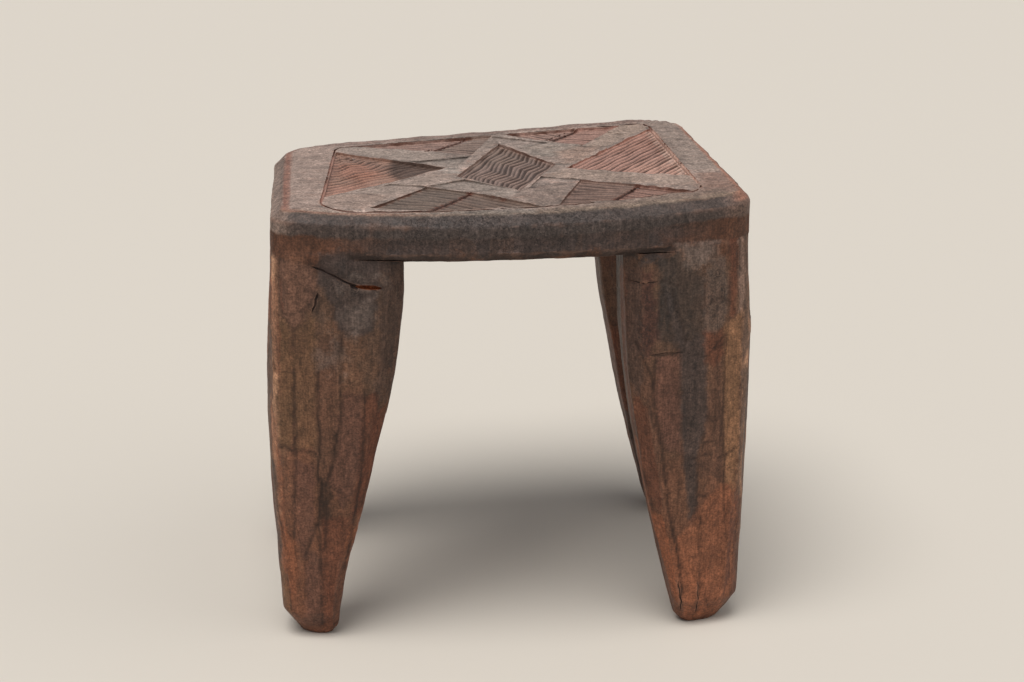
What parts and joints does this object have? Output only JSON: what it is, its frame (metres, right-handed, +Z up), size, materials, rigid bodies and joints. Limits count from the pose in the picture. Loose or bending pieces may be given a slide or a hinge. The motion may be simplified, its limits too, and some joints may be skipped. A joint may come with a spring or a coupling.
{
  "type": "carved four-legged stool",
  "caption": "Low stool hewn from one block of dark wood: a squarish board seat with carved interlaced bands, over splayed, tapering legs",
  "frame": {"origin": "centre of the bounding box's base, on the floor under the middle of the seat", "axes": "+Z up, -Y towards the front, the side whose edge bows out most, +X to the right seen from the front, along the seat's width"},
  "size_m": [0.3222, 0.2912, 0.2989],
  "materials": {
    "seat_wood": "dark hand-worn hardwood with a dull rubbed sheen, greyer on the bands and redder in the hatched fields",
    "leg_wood": "adze-cut dark red-brown hardwood, dull, with long grain, dry cracks and sooty stains"
  },
  "bodies": {
    "root": {"seat": "seat_wood", "leg_front_left": "leg_wood", "leg_front_right": "leg_wood", "leg_back_left": "leg_wood", "leg_back_right": "leg_wood"}
  },
  "joints": []
}
